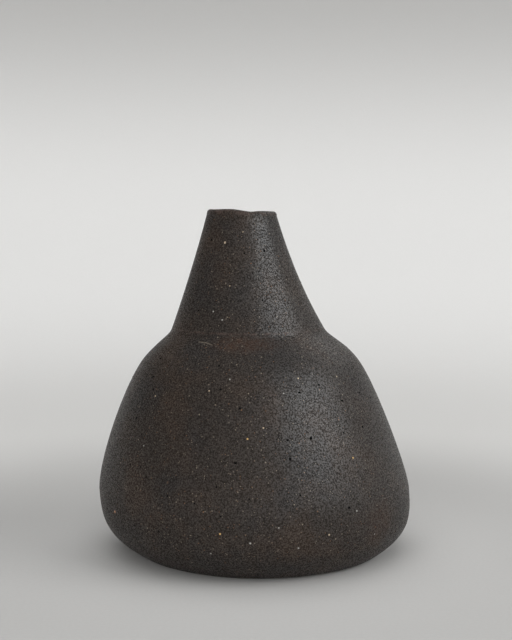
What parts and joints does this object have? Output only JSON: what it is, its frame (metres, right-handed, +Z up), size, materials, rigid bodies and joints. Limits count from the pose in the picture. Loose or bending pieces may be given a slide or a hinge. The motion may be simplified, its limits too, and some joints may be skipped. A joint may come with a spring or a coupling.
{
  "type": "vase",
  "caption": "Wide-bellied stoneware bottle vase with a soft shoulder, a crease and a tall tapering neck that holds water and a few stems.",
  "frame": {"origin": "in the resting face, under the middle of the widest part of the body", "axes": "+Z up from the resting face to the mouth; -Y towards the viewer; the neck leans slightly towards -X"},
  "size_m": [0.1527, 0.1524, 0.166],
  "materials": {
    "stoneware": "matte",
    "luting_clay": "matte",
    "liner_glaze": "gloss"
  },
  "bodies": {
    "root": {"base_slab": "stoneware", "body_wall": "stoneware", "neck_cone": "stoneware", "floor_coil": "luting_clay", "neck_coil": "luting_clay", "glaze_liner": "liner_glaze"}
  },
  "joints": []
}
